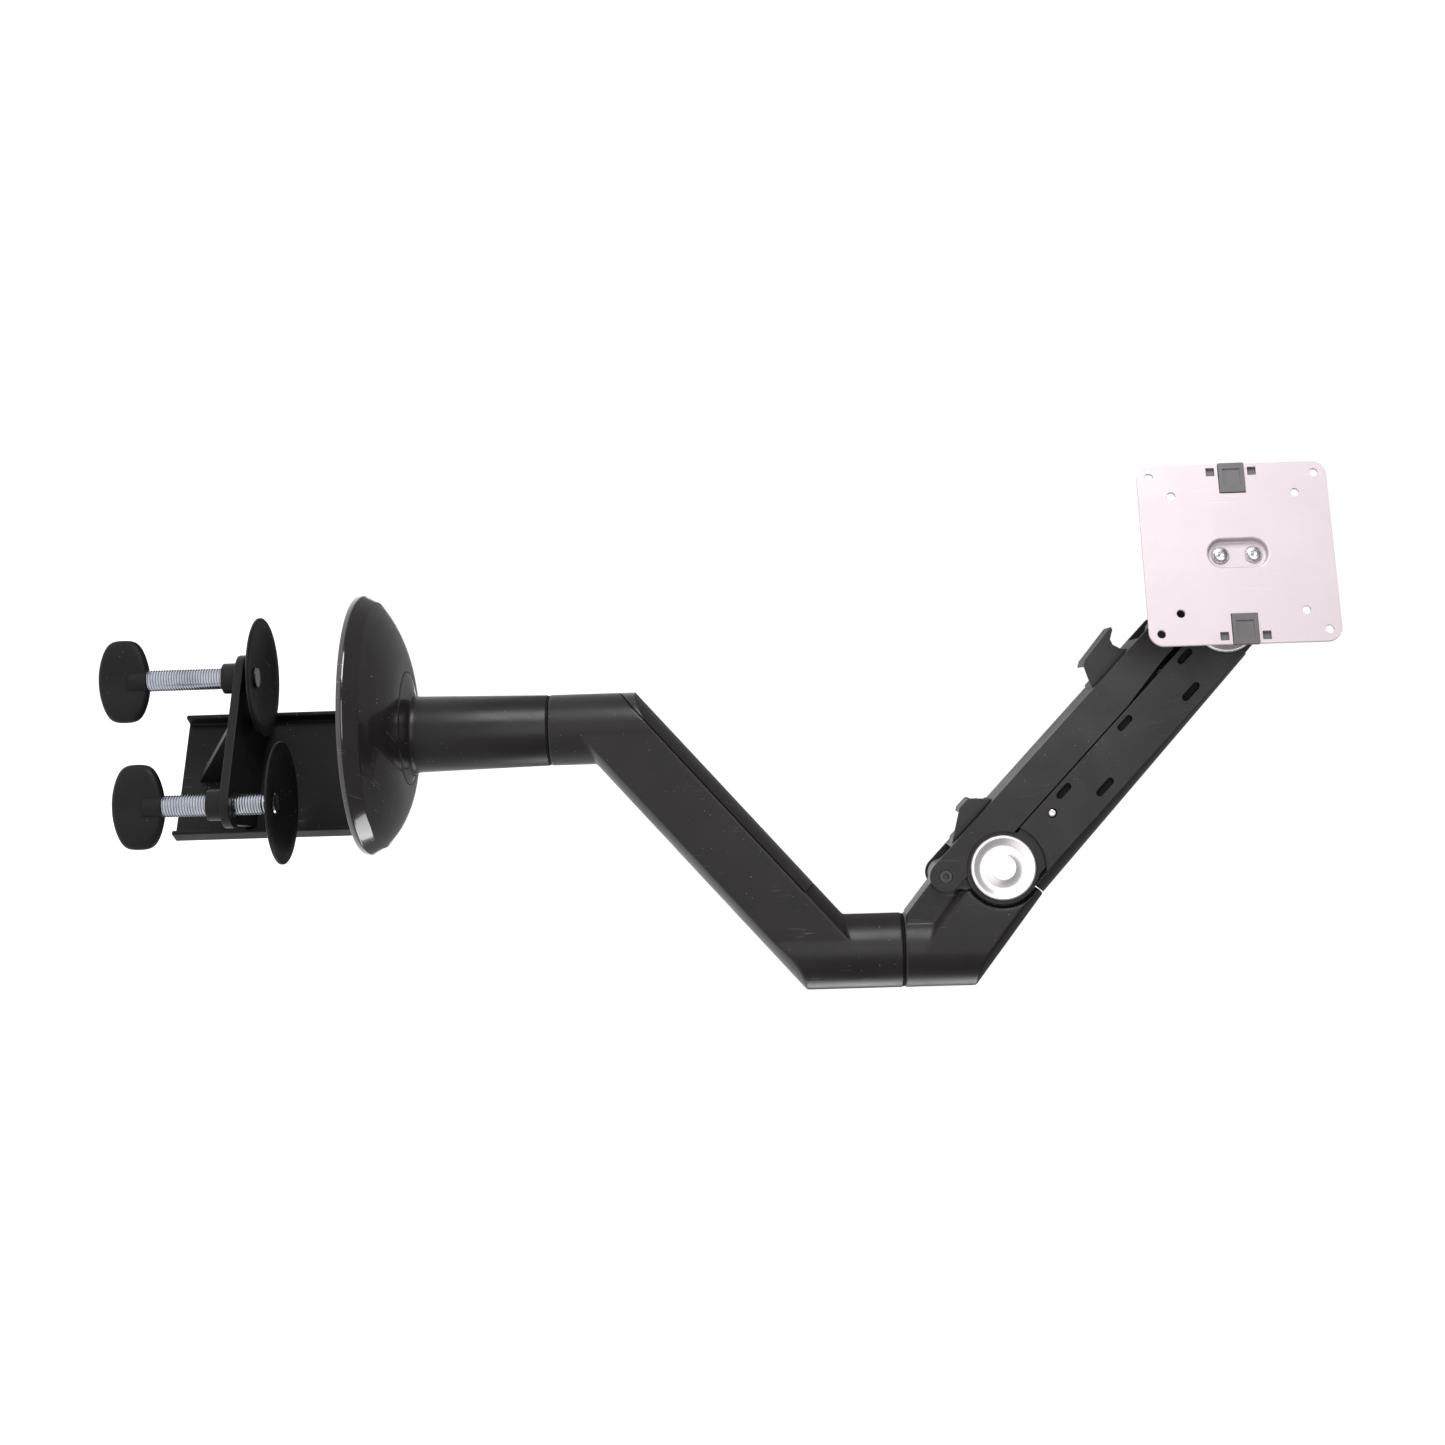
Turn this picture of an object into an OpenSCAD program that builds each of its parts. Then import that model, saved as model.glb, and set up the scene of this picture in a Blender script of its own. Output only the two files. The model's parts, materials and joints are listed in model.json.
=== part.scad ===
// Counterbalanced desk-clamp monitor arm.
// Z is up, the origin is on the post axis at the desk top, and -Y points in over the desk.
// Every sub-part is drawn in its own joint's frame and placed by the at_...() modules.

/* [Clamp] */
// Radius of the round base cover
base_r = 82.5; // [80:0.5:90]
// How far the base cover's centre lies in over the desk from the post
base_shift = 14.5; // [12:0.5:16]
// Thickness of the rubber desk pad
pad_t = 1.5; // [1:0.5:2]
// Width of the channel that hangs behind the desk edge
channel_w = 89; // [86:1:96]
// Length of the channel below the desk top
channel_drop = 136; // [130:1:150]
// Distance from the post axis to the channel web's inner face
channel_y = 53; // [52:0.5:56]
// Depth of the shelf's top face below the desk top
shelf_drop = 82; // [80:1:90]
// Half the distance between the two clamp screws
screw_x = 46; // [44:0.5:48]
// Radius of the clamp screws
screw_r = 6; // [5:0.5:6]
// Radius of the pressure discs
disc_r = 39; // [30:0.5:39]
// Depth of the first disc's rim below the desk top
disc_a_drop = 72; // [40:1:72]
// Depth of the second disc's rim below the desk top
disc_b_drop = 51; // [40:1:72]
// Turned position of the thumb paddles, seen from above
knob_turn = 28; // [0:1:180]

/* [Post and lower link] */
// Height of the post swivel joint above the desk top
post_h = 118; // [110:1:150]
// Radius of the post sleeve at its foot
post_foot_r = 24.5; // [24:0.1:26]
// Direction of the lower link, seen from above
post_turn = 28; // [-180:1:180]
// Radius of the lower link's bottom tube
tube_r = 22.65; // [22:0.05:23.5]
// Radius of the lower link's top tube and of the elbow tube
elbow_r = 23.75; // [23:0.05:24.5]
// Horizontal distance from the post axis to the elbow axis
reach = 147; // [140:1:160]
// Height of the elbow swivel joint above the desk top
elbow_h = 339; // [335:1:350]
// Width of the sloping link between its two crowned sides
slab_w = 49.4; // [48:0.1:50]
// Height of each crowned side
crown = 7; // [5:0.5:8]

/* [Upper arm] */
// Turned position of the elbow, where 180 folds the arm back over the link
elbow_turn = 180; // [-180:1:180]
// Angle of the upper arm above the horizontal
lift = 43.6; // [40:0.1:43.6]
// Distance between the two main pivots
arm_len = 208; // [200:1:220]
// Distance from the elbow axis to the main pivot
pivot_x = 52; // [50:1:55]
// Height of the main pivot above the elbow joint
pivot_z = 63; // [62:1:66]
// How far the lower pivot lies behind the main pivot
drop_x = 4.6; // [4:0.1:5]
// How far the lower pivot lies below the main pivot
drop_z = 36; // [36:0.5:38]
// Radius of the bright pivot caps
cap_r = 20.4; // [19:0.1:20.4]
// Half width over the arm's cheeks
cheek_v = 22; // [22:0.1:22.5]

/* [Head and plate] */
// Distance from the far pivot to the head's swivel axis
head_x = 23.4; // [23:0.1:26]
// Turned position of the head, where 0 looks straight ahead
head_turn = 75.5; // [-90:0.5:90]
// Distance from the swivel axis to the plate's front
plate_off = 61.6; // [60:0.1:70]
// Side of the square mounting plate
plate_w = 115; // [112:1:120]
// Corner radius of the mounting plate
plate_r = 9; // [6:0.5:10]
// Radius of the monitor bolt holes
hole_r = 2.6; // [2.2:0.1:2.7]
// Hole spacing of the outer monitor pattern
outer_pattern = 100; // [100]
// Hole spacing of the inner monitor pattern
inner_pattern = 75; // [75]

/* [Hidden] */
$fn = 64;
// Gap between faces that pass each other, and radial gap of a running fit
gap = 0.3;
fit = 0.05;
// Plate stack under the cover
plate_t = 5;
plate_top = pad_t + plate_t;
sheet = 3;
rim_h = 5;
bevel_h = 13;
bevel_r = base_r - 4.8;
ring_r = 36.3;
ring_shift = 9;
ring_h = 28;
cover_t = 2.5;
foot_h = 31.5;
post_top = post_h - 1;
bolt_ring = 25;
core_r = 18;
bore_r = 15;
shaft_r = 11;
// Clamp shelf and screws
shelf_t = 6;
collar_r = 10;
collar_h = 10.5;
disc_dish = 6;
neck_r = 4.6;
screw_below = 83;
paddle_w = 54;
paddle_h = 34;
paddle_t = 11;
// Sloping link; its flat sides stand flat_in inside the bottom tube, so that no face is tangent to another
flat_in = 0.35;
slab_half = tube_r - flat_in;
slab_a = atan2(elbow_h - 50 - post_h - 42, reach);
slab_z = post_h + 42;
slab_end = slab_z + reach * tan(slab_a);
crown_r = (tube_r * tube_r + crown * crown) / (2 * crown);
seam_w = slab_w / 2 - crown + 0.4;
cover_from = -26;
cover_to = 158;
// Elbow
bend_a = 37.6;
bend_z = 32.4;
p1x = pivot_x;
p1z = elbow_h + pivot_z;
ear_v = 15.5;
plate_v = 19.2;
axle_r = 6;
pin_r = 4;
crank = 14;
// Upper arm, in the frame of the main pivot
seam_v = -9;
top_v = 21.8;
cover_near = 31.7;
cover_far = 26.2;
cheek_t = 2.5;
// Lowest angle of the arm, for the room its moving parts need
low_a = lift - 80;
sep_u = drop_x * cos(lift) + drop_z * sin(lift);
sep_w = drop_z * cos(lift) - drop_x * sin(lift);
yoke_u = crank * sin(lift);
rod_w = 4;
bar_u = 38;
block_u = 58;
nut_u = 158;
clip_v = 13;
// Head
barrel_h = 24.5;
barrel_r = 10.5;
notch_u = 1 - barrel_h * sin(low_a) - (head_x - barrel_r) * cos(low_a);
web_x = 26.5;
web_t = 5;
tilt_x = 41;
plate_sheet = 2;
dish_deep = 5;
hub_x = plate_off - dish_deep - plate_sheet - 4;
latch_y = plate_w / 2 - 9.5;
latch_w = 16;
latch_l = 19;

// ---- Frames of the joints ----
module at_screw(side) translate([side * screw_x, 0, 0]) children();
module at_lower() rotate([0, 0, post_turn]) children();
module at_slab() at_lower() translate([0, 0, slab_z]) rotate([0, -slab_a, 0]) children();
module at_elbow() at_lower() translate([reach, 0, 0]) rotate([0, 0, elbow_turn]) children();
module at_arm() at_elbow() translate([p1x, 0, p1z]) rotate([0, -lift, 0]) children();
module at_link() at_elbow() translate([p1x - drop_x, 0, p1z - drop_z]) rotate([0, -lift, 0]) children();
module at_far() at_elbow() translate([p1x + arm_len * cos(lift), 0, p1z + arm_len * sin(lift)]) children();
module at_head() at_far() translate([head_x, 0, 0]) rotate([0, 0, head_turn]) children();

// ---- Shared shapes ----
// Cylinder along Y, centred on Y = 0
module rod_y(r, half) rotate([90, 0, 0]) cylinder(r = r, h = 2 * half, center = true);
// Cylinder along X from a to b
module rod_x(r, a, b) translate([a, 0, 0]) rotate([0, 90, 0]) cylinder(r = r, h = b - a);
// Cylinder along Z from a to b
module rod_z(r, a, b) translate([0, 0, a]) cylinder(r = r, h = b - a);
module tube_z(r, bore, a, b) difference() {
    rod_z(r, a, b);
    rod_z(bore, a - 1, b + 1);
}
// Plate in the XZ plane between y = a and y = b
module side_plate(a, b) translate([0, b, 0]) rotate([90, 0, 0]) linear_extrude(b - a) children();
module both_sides() {
    children();
    mirror([0, 1, 0]) children();
}
// Long round-ended slot in the XY plane
module slot_2d(len, wide) {
    square([len - wide, wide], center = true);
    for (s = [-1, 1]) translate([s * (len - wide) / 2, 0]) circle(d = wide);
}
module rounded_square(w, h, r) {
    square([w - 2 * r, h], center = true);
    square([w, h - 2 * r], center = true);
    for (x = [-1, 1], y = [-1, 1]) translate([x * (w / 2 - r), y * (h / 2 - r)]) circle(r);
}
// Section of the sloping castings in XY: flat faces at y = +-half, crowned sides at x = +-slab_w / 2
module crowned_2d(half) {
    intersection() {
        square([slab_w, 2 * half], center = true);
        translate([slab_w / 2 - crown_r, 0]) circle(crown_r, $fn = 180);
        translate([crown_r - slab_w / 2, 0]) circle(crown_r, $fn = 180);
    }
}
// Sloping bar along X whose crowned sides face +-Z
module crowned_bar(half, a, b) translate([a, 0, 0]) rotate([0, 90, 0]) linear_extrude(b - a) crowned_2d(half);

// ---- Clamp ----
module cover_outline(inset) {
    rotate_extrude($fn = 120) polygon([
        [0, 0.6], [base_r - inset, 0.6], [base_r - inset, rim_h],
        [bevel_r - inset, bevel_h - inset], [0, bevel_h - inset]
    ]);
}
module cover_cone(inset) hull() {
    translate([0, -base_shift, bevel_h - inset - 0.5]) cylinder(r = bevel_r - inset, h = 0.5, $fn = 96);
    translate([0, -ring_shift, ring_h - inset - 0.5]) cylinder(r = ring_r, h = 0.5, $fn = 96);
}
module base_pad() color([0.09, 0.09, 0.09]) intersection() {
    translate([0, -base_shift, 0]) cylinder(r = base_r - 3.5, h = pad_t);
    translate([-100, -150, 0]) cube([200, 150 + channel_y - 9, pad_t]);
}
module base_plate() color([0.12, 0.12, 0.13]) difference() {
    translate([0, -base_shift, pad_t]) cylinder(r = base_r - 4.5, h = plate_t);
    for (a = [45:90:315]) rotate([0, 0, a]) translate([bolt_ring, 0, 0]) rod_z(2.6, -1, plate_top + 1);
}
module base_cover() color([0.05, 0.045, 0.05]) difference() {
    union() {
        translate([0, -base_shift, 0]) cover_outline(0);
        cover_cone(0);
    }
    translate([0, -base_shift, -0.1]) cover_outline(cover_t);
    cover_cone(cover_t);
    translate([0, -ring_shift, 0]) cylinder(r = ring_r - 0.3, h = 60);
    translate([-channel_w / 2 - gap, channel_y - 9, -1])
        cube([channel_w + 2 * gap, 14 + gap, pad_t + 1 + gap]);
}
module cover_ring() color([0.06, 0.055, 0.06]) difference() {
    hull() {
        translate([0, -ring_shift, ring_h - 1.5]) cylinder(r = ring_r - 0.6, h = 1.5, $fn = 72);
        rod_z(post_foot_r + 2.5, foot_h - 0.6, foot_h);
    }
    hull() {
        translate([0, -ring_shift, ring_h - 5]) cylinder(r = ring_r - 3, h = 1.8, $fn = 48);
        rod_z(post_foot_r + 1, foot_h - 3, foot_h - 2.6);
    }
    rod_z(post_foot_r + 0.05, 0, 60);
}
module clamp_channel() color([0.11, 0.11, 0.12]) difference() {
    translate([-channel_w / 2, channel_y - 8, -channel_drop])
        cube([channel_w, 8 + sheet, channel_drop + pad_t]);
    translate([-channel_w / 2 + sheet, channel_y - 9, -channel_drop - 1])
        cube([channel_w - 2 * sheet, 9, channel_drop + pad_t + 2]);
}
module shelf_2d() {
    for (s = [-1, 1]) translate([s * screw_x, 0]) circle(15);
    translate([-screw_x, -15]) square([2 * screw_x, 22]);
    polygon([
        [-screw_x - 9, 12], [screw_x + 9, 12], [channel_w / 2 - sheet - 0.5, channel_y - 9],
        [channel_w / 2 - sheet - 0.5, channel_y], [-channel_w / 2 + sheet + 0.5, channel_y],
        [-channel_w / 2 + sheet + 0.5, channel_y - 9]
    ]);
    translate([-screw_x, 0]) square([2 * screw_x, 13]);
}
module clamp_shelf() color([0.12, 0.12, 0.13]) translate([0, 0, -shelf_drop - shelf_t]) difference() {
    linear_extrude(shelf_t) shelf_2d();
    for (s = [-1, 1]) at_screw(s) rod_z(8, -1, shelf_t + 1);
}
module clamp_gusset() color([0.12, 0.12, 0.13]) translate([2.5, 0, -shelf_drop - shelf_t])
    rotate([90, 0, -90]) linear_extrude(5) polygon([[-channel_y, 0], [14, 0], [-channel_y, -36]]);
module screw_collars() color([0.1, 0.1, 0.1]) for (s = [-1, 1])
    at_screw(s) translate([0, 0, -shelf_drop - shelf_t]) difference() {
        union() {
            rod_z(collar_r, -collar_h, 0);
            rod_z(8, 0, shelf_t + 0.6);
        }
        rod_z(screw_r + fit, -collar_h - 1, shelf_t + 2);
    }
module post_tube() color([0.5, 0.5, 0.52]) difference() {
    union() {
        tube_z(core_r, bore_r, plate_top, post_top - 0.5);
        rod_z(30.5, plate_top, plate_top + 4);
    }
    for (a = [45:90:315]) rotate([0, 0, a]) translate([bolt_ring, 0, 0]) rod_z(3, 0, 40);
}
module post_sleeve() color([0.1, 0.09, 0.1]) difference() {
    translate([0, 0, foot_h - 6]) cylinder(r1 = post_foot_r, r2 = tube_r, h = post_top - foot_h + 6);
    rod_z(core_r, 0, post_top + 1);
}
module bush(a, b) tube_z(bore_r, shaft_r + fit, a, b);
module post_bushes() color([0.85, 0.84, 0.8]) {
    bush(30, 48);
    bush(post_top - 18, post_top - 0.5);
}
module post_washer() color([0.03, 0.03, 0.03]) tube_z(tube_r - 0.5, shaft_r + 1, post_top, post_h);
module post_bolts() color([0.6, 0.6, 0.62]) for (a = [45:90:315])
    rotate([0, 0, a]) translate([bolt_ring, 0, 0]) {
        rod_z(2.6, plate_top - 3, plate_top + 4.1);
        rod_z(4.5, plate_top + 4, plate_top + 8);
    }

// ---- Clamp screws ----
module pressure_disc(drop) translate([0, 0, -drop]) difference() {
    union() {
        rotate_extrude($fn = 96) polygon([
            [0, -disc_dish - 2], [10, -disc_dish - 2], [disc_r - 5, -2], [disc_r, -2],
            [disc_r, 0], [disc_r - 6, 0], [10, -disc_dish], [0, -disc_dish]
        ]);
        rod_z(8, -disc_dish - 3, -disc_dish);
    }
    rod_z(neck_r + fit, -20, 5);
    for (s = [-1, 1]) translate([s * (disc_r - 9), 0, -20]) cylinder(r = 1.8, h = 30);
}
module clamp_screw(drop, low) {
    rod_z(screw_r, low, -drop - disc_dish - 3 - gap);
    rod_z(neck_r, low, -drop - disc_dish + gap);
    translate([0, 0, -drop - disc_dish + gap]) cylinder(r1 = neck_r + 2.4, r2 = neck_r, h = 1.8);
}
module paddle(low) rotate([0, 0, knob_turn]) translate([0, 0, low]) difference() {
    union() {
        for (s = [-1, 1]) translate([s * (paddle_w / 2 - 15), 0, paddle_h / 2 - 1]) rod_y(15, paddle_t / 2);
        translate([-paddle_w / 2 + 15, -paddle_t / 2, 3]) cube([paddle_w - 30, paddle_t, paddle_h - 8]);
        rod_z(8, paddle_h - 12, paddle_h);
    }
    rod_z(screw_r, paddle_h / 2, paddle_h + 1);
}
function screw_low(drop) = -drop - screw_below - 10;
function paddle_low(drop) = screw_low(drop) - paddle_h / 2;
module pressure_disc_a() color([0.13, 0.12, 0.13]) at_screw(-1) pressure_disc(disc_a_drop);
module clamp_screw_a() color([0.75, 0.76, 0.78]) at_screw(-1)
    clamp_screw(disc_a_drop, screw_low(disc_a_drop));
module thumb_paddle_a() color([0.08, 0.08, 0.08]) at_screw(-1) paddle(paddle_low(disc_a_drop));
module pressure_disc_b() color([0.13, 0.12, 0.13]) at_screw(1) pressure_disc(disc_b_drop);
module clamp_screw_b() color([0.75, 0.76, 0.78]) at_screw(1)
    clamp_screw(disc_b_drop, screw_low(disc_b_drop));
module thumb_paddle_b() color([0.08, 0.08, 0.08]) at_screw(1) paddle(paddle_low(disc_b_drop));

// ---- Lower link ----
// Whole outline of the casting with its cable cover, in the lower link's frame
module in_slab() translate([0, 0, slab_z]) rotate([0, -slab_a, 0]) children();
module link_solid() {
    intersection() {
        rod_z(tube_r, post_h + 0.25, slab_z + 50);
        in_slab() union() {
            crowned_bar(30, -80, 60);
            translate([-150, -60, -300]) cube([250, 120, 300]);
        }
    }
    intersection() {
        translate([reach, 0, 0]) rod_z(elbow_r, slab_end - 70, elbow_h - 0.8);
        in_slab() union() {
            crowned_bar(30, 130, 260);
            translate([90, -60, 0]) cube([300, 120, 300]);
        }
    }
    intersection() {
        in_slab() crowned_bar(slab_half, -60, 260);
        translate([0, -60, 0]) cube([reach, 120, 500]);
    }
}
module cover_zone(clear) in_slab()
    translate([cover_from - clear, -60, seam_w - clear]) cube([cover_to - cover_from + 2 * clear, 120, 60]);
module lower_link() color([0.1, 0.09, 0.1]) at_lower() difference() {
    link_solid();
    cover_zone(gap);
    in_slab() translate([0, -14, seam_w - 22]) cube([150, 28, 40]);
    rod_z(shaft_r, 0, post_h + 30);
    translate([reach, 0, 0]) rod_z(bore_r, elbow_h - 58, elbow_h + 1);
}
module link_cable_cover() color([0.07, 0.065, 0.07]) at_lower() union() {
    intersection() {
        link_solid();
        cover_zone(0);
    }
    in_slab() for (x = [20, 75, 130], s = [-1, 1])
        translate([x - 4, s * 12.5 - 1, seam_w - 5]) cube([8, 2, 6]);
}
module link_shaft() color([0.7, 0.7, 0.72]) at_lower() rod_z(shaft_r, 24, post_h + 30);
module link_shaft_retainer() color([0.6, 0.6, 0.62]) at_lower() retainer(24);
module retainer(top) {
    rod_z(13.5, top - 2, top);
    rod_z(5, top - 6, top - 2);
}
module elbow_bushes() color([0.85, 0.84, 0.8]) at_lower() translate([reach, 0, 0]) {
    bush(elbow_h - 50, elbow_h - 34);
    bush(elbow_h - 18, elbow_h - 0.8);
}
module elbow_washer() color([0.03, 0.03, 0.03]) at_lower() translate([reach, 0, 0])
    tube_z(elbow_r - 0.5, shaft_r + 1, elbow_h - 0.8, elbow_h);

// ---- Elbow ----
module at_bend() translate([0, 0, elbow_h + bend_z]) rotate([0, -bend_a, 0]) children();
// Side view of the thick part: everything clear of the turning arm and link
module elbow_clear() difference() {
    translate([-40, elbow_h + 0.25]) square([120, 120]);
    translate([p1x, p1z]) circle(25.3);
    translate([p1x - drop_x, p1z - drop_z]) circle(11);
    translate([p1x, p1z]) rotate(lift) translate([5, -60]) square([80, 120]);
    translate([p1x - drop_x + 2, elbow_h - 10]) square([60, 70]);
    translate([p1x - 14, p1z - 40]) square([60, 30]);
}
module elbow_thick() intersection() {
    union() {
        intersection() {
            rod_z(elbow_r, elbow_h, elbow_h + 80);
            at_bend() union() {
                crowned_bar(30, -60, 120);
                translate([-100, -60, -150]) cube([300, 120, 150]);
            }
        }
        intersection() {
            at_bend() crowned_bar(elbow_r, -60, 120);
            translate([0, -60, elbow_h]) cube([120, 120, 150]);
        }
    }
    side_plate(-60, 60) elbow_clear();
}
module ear_2d() {
    translate([p1x, p1z]) circle(22);
    translate([p1x - drop_x, p1z - drop_z]) circle(9);
    polygon([
        [12, elbow_h + 2], [24, elbow_h + 2], [p1x - drop_x - 3, p1z - drop_z - 8.6],
        [p1x - drop_x + 8.4, p1z - drop_z - 3], [p1x + 20.8, p1z - 7], [p1x, p1z], [p1x - 14, p1z + 16.8],
        [12, p1z]
    ]);
}
// Room for the spring yoke as the arm comes down, seen from the side of the main pivot
module yoke_room_2d() intersection() {
    circle(26);
    for (a = [-60, -40]) rotate(a) translate([-40, 0]) square([80, 40]);
}
module elbow_casting() color([0.1, 0.09, 0.1]) at_elbow() difference() {
    union() {
        elbow_thick();
        side_plate(-ear_v, ear_v) ear_2d();
    }
    translate([p1x, 0, p1z]) {
        rod_y(9, 30);
        side_plate(-7, 7) yoke_room_2d();
        translate([0, 0, crank]) rod_y(3, 12);
    }
    translate([p1x - drop_x, 0, p1z - drop_z]) rod_y(pin_r, 30);
    rod_z(shaft_r, elbow_h - 1, elbow_h + 34);
    translate([-elbow_r - 1, -3, elbow_h + 8]) cube([4, 6, 2.4]);
}
module elbow_shaft() color([0.7, 0.7, 0.72]) at_elbow() rod_z(shaft_r, elbow_h - 50, elbow_h + 34);
module elbow_shaft_retainer() color([0.6, 0.6, 0.62]) at_elbow() retainer(elbow_h - 50);
module flanged_bushes() both_sides() translate([0, -ear_v, 0]) rotate([-90, 0, 0])
    tube_z(9, axle_r + fit, 0, 8);
module pivot_bushes() color([0.85, 0.84, 0.8]) at_elbow() translate([p1x, 0, p1z]) flanged_bushes();
module crank_pin() color([0.7, 0.7, 0.72]) at_elbow() translate([p1x, 0, p1z + crank]) rod_y(3, 12);
module link_pin() difference() {
    rod_y(pin_r, cheek_v);
    both_sides() translate([0, cheek_v + 0.01, 0]) rotate([90, 0, 0]) cylinder(r = 2, h = 2.5, $fn = 6);
}
module link_pin_lower() color([0.2, 0.2, 0.2]) at_elbow()
    translate([p1x - drop_x, 0, p1z - drop_z]) link_pin();

// ---- Upper arm, X along the arm from the main pivot ----
module frame_2d() {
    circle(23.4);
    translate([arm_len, 0]) circle(21.8);
    translate([0, -8]) square([arm_len, 28]);
}
module arm_frame() color([0.16, 0.16, 0.17]) at_arm() difference() {
    union() {
        both_sides() side_plate(ear_v + 0.5, plate_v) frame_2d();
        translate([bar_u, -plate_v, 17.5]) cube([arm_len - 30 - bar_u, 2 * plate_v, 2.5]);
    }
    rod_y(axle_r, 40);
    translate([arm_len, 0, 0]) rod_y(axle_r, 40);
}
module cheek_2d() difference() {
    union() {
        translate([0, seam_v]) square([arm_len, top_v - seam_v]);
        intersection() {
            translate([arm_len, 0]) circle(24);
            translate([arm_len - 30, seam_v]) square([60, top_v - seam_v]);
        }
    }
    circle(27);
    translate([arm_len, 0]) circle(cap_r + 0.6);
    for (u = [61, 118, 174]) translate([u, -4]) slot_2d(12, 4.4);
    for (u = [80, 160]) translate([u, 13.5]) slot_2d(14.4, 4.6);
    translate([46, 0]) circle(3);
}
module arm_cheeks() color([0.1, 0.1, 0.1]) at_arm() both_sides() side_plate(plate_v, cheek_v) cheek_2d();
// Bar under the top cover's crowned face, which falls towards the far end
module cover_bar(drop) {
    fall = atan2(cover_near - cover_far, arm_len);
    arc_r = (cheek_v * cheek_v + 81) / 18;
    rotate([0, fall, 0]) translate([-20, 0, cover_near - drop - arc_r]) rotate([0, 90, 0])
        cylinder(r = arc_r, h = arm_len + 60, $fn = 180);
}
module arm_cover() color([0.13, 0.13, 0.13]) at_arm() difference() {
    intersection() {
        cover_bar(0);
        side_plate(-cheek_v, cheek_v) union() {
            translate([6, top_v + 0.2]) square([arm_len - 6, 20]);
            translate([arm_len, 0]) intersection() {
                circle(26);
                translate([-10, top_v + 0.2]) square([30, 20]);
            }
        }
    }
    intersection() {
        cover_bar(2.4);
        side_plate(-cheek_v + 2.4, cheek_v - 2.4) translate([5, 0]) square([arm_len - 3, 60]);
    }
    // Notch that lets the swivel barrel rise past the end when the arm is low
    translate([arm_len - notch_u, -barrel_r - 1, 0]) cube([40, 2 * barrel_r + 2, 60]);
}
// Dished bright cap with a flat centre button, its back face on z = 0
module bright_cap() difference() {
    cylinder(r = cap_r, h = 5.2);
    translate([0, 0, 4]) rotate_extrude() polygon([[8.2, 0.2], [14, -1.2], [19, 1.3], [8.2, 1.3]]);
}
module caps() both_sides() translate([0, plate_v, 0]) rotate([-90, 0, 0]) bright_cap();
module pivot_caps() color([0.85, 0.85, 0.87]) at_arm() caps();
module end_caps() color([0.85, 0.85, 0.87]) at_arm() translate([arm_len, 0, 0]) caps();
module lift_axle() color([0.7, 0.7, 0.72]) at_arm() rod_y(axle_r, plate_v);
module end_axle() color([0.7, 0.7, 0.72]) at_arm() translate([arm_len, 0, 0]) rod_y(axle_r, plate_v);
module cheek_screws() color([0.8, 0.8, 0.82]) at_arm() both_sides() translate([46, plate_v, 0])
    rotate([-90, 0, 0]) difference() {
        cylinder(r = 2.9, h = cheek_t - 0.2);
        translate([0, 0, 1.2]) cylinder(r = 1.3, h = 5, $fn = 6);
    }

// ---- Counterbalance spring, inside the upper arm ----
module spring_block() color([0.3, 0.3, 0.32]) at_arm() difference() {
    translate([block_u, -ear_v - 0.5, -7]) cube([6, 2 * ear_v + 1, 24.5]);
    translate([0, 0, rod_w]) rod_x(pin_r + fit, 40, 80);
}
module lift_spring() color([0.75, 0.75, 0.78]) at_arm() translate([block_u + 6, 0, rod_w]) rotate([0, 90, 0])
    linear_extrude(nut_u - block_u - 6, twist = -360 * 9, slices = 144, $fn = 8)
        translate([8.4, 0]) circle(1.9);
module spring_yoke() color([0.45, 0.45, 0.47]) at_arm() union() {
    difference() {
        translate([yoke_u - 7.5, -6, 7]) cube([26, 12, 13]);
        translate([yoke_u - 3.6, -7, 6]) cube([7.2, 14, 11.4]);
    }
    translate([yoke_u + 16.5, -6, -2]) cube([8, 12, 22]);
    translate([0, 0, rod_w]) rod_x(pin_r, yoke_u + 24, nut_u + 10);
}
module spring_nut() color([0.7, 0.7, 0.72]) at_arm() translate([0, 0, rod_w]) difference() {
    union() {
        rod_x(11, nut_u, nut_u + 3);
        rod_x(7, nut_u + 3, nut_u + 9);
    }
    rod_x(pin_r, 100, 200);
}

// ---- Parallel link and its cable clips, X along the link from the lower pivot ----
// The upper edge falls towards the far pin, so that the end cap clears it when the arm is low
module link_side_2d() difference() {
    top_w = sep_w + seam_v - 0.6;
    union() {
        circle(10);
        translate([arm_len, 0]) circle(10);
        translate([0, -10]) square([arm_len, 20]);
        polygon([[12, -10], [12, top_w], [arm_len - 52, top_w], [arm_len - 12, 10], [arm_len - 12, -10]]);
    }
    translate([sep_u, sep_w]) circle(22.6);
    translate([arm_len + sep_u, sep_w]) circle(22.6);
    translate([arm_len, 5]) square([30, 30]);
}
module parallel_link() color([0.12, 0.12, 0.12]) at_link() difference() {
    union() {
        both_sides() side_plate(plate_v + gap, cheek_v) link_side_2d();
        translate([16, -cheek_v, -10]) cube([arm_len - 32, 2 * cheek_v, 2.5]);
    }
    rod_y(pin_r + fit, 40);
    translate([arm_len, 0, 0]) rod_y(pin_r + fit, 40);
}
// Cable holder: a tunnel under the link, open along its far side so that cables press in
module clip(low, outline) difference() {
    side_plate(-clip_v, clip_v) polygon(outline);
    translate([-60, -clip_v - 1, low]) cube([400, 2 * clip_v - 1.2, -12 - low]);
}
module cable_clip_near() color([0.11, 0.11, 0.11]) at_link()
    clip(-20, [[18, -10], [38, -21.5], [46, -21.5], [49.5, -18], [56, -10]]);
module cable_clip_far() color([0.11, 0.11, 0.11]) at_link() clip(-22.5, [
    [150, -10], [152, -14], [157, -23.5], [160, -25], [186.5, -27], [186, -25], [180.4, -22],
    [179, -18.5], [180.5, -13], [183, -10]
]);

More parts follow.
